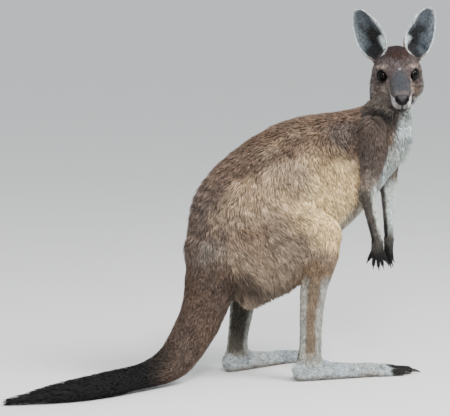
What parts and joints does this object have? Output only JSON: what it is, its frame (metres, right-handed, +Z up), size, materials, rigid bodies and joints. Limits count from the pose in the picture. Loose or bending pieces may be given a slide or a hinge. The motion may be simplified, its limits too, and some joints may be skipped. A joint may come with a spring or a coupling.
{
  "type": "western grey kangaroo",
  "caption": "Life-size still model of a grey kangaroo standing at rest on its hind feet and tail, its head turned to its right with both ears upright.",
  "frame": {"origin": "on the floor, under the middle of the model's outline box", "axes": "+X the way the hips face, from the tail's tip to the toes; +Y the animal's left; +Z up"},
  "size_m": [1.1989, 0.3856, 0.9313],
  "materials": {
    "coat_grey_brown": "dense grey-brown fur",
    "coat_pale": "short pale grey fur",
    "coat_dark": "short blackish fur",
    "coat_ear": "short grey fur",
    "claw": "black horn, satin",
    "eye": "wet dark brown"
  },
  "bodies": {
    "root": {"hand_claw_right_1": "claw", "hand_claw_right_2": "claw", "hand_claw_right_3": "claw", "hand_claw_right_4": "claw", "hand_claw_right_5": "claw", "hand_right": "coat_dark", "forearm_right": "coat_pale", "upper_arm_right": "coat_grey_brown", "hand_claw_left_1": "claw", "hand_claw_left_2": "claw", "hand_claw_left_3": "claw", "hand_claw_left_4": "claw", "hand_claw_left_5": "claw", "hand_left": "coat_dark", "forearm_left": "coat_pale", "upper_arm_left": "coat_grey_brown", "toe_claw_long_right": "claw", "toe_claw_outer_right": "claw", "toe_claw_inner_a_right": "claw", "toe_claw_inner_b_right": "claw", "foot_right": "coat_pale", "shank_right": "coat_pale", "thigh_right": "coat_grey_brown", "toe_claw_long_left": "claw", "toe_claw_outer_left": "claw", "toe_claw_inner_a_left": "claw", "toe_claw_inner_b_left": "claw", "foot_left": "coat_pale", "shank_left": "coat_pale", "thigh_left": "coat_grey_brown", "tail_4": "coat_dark", "tail_3": "coat_dark", "tail_2": "coat_grey_brown", "tail_1": "coat_grey_brown", "eye_left": "eye", "eye_right": "eye", "ear_left": "coat_ear", "ear_right": "coat_ear", "head": "coat_grey_brown", "neck": "coat_grey_brown", "trunk": "coat_grey_brown"}
  },
  "joints": []
}
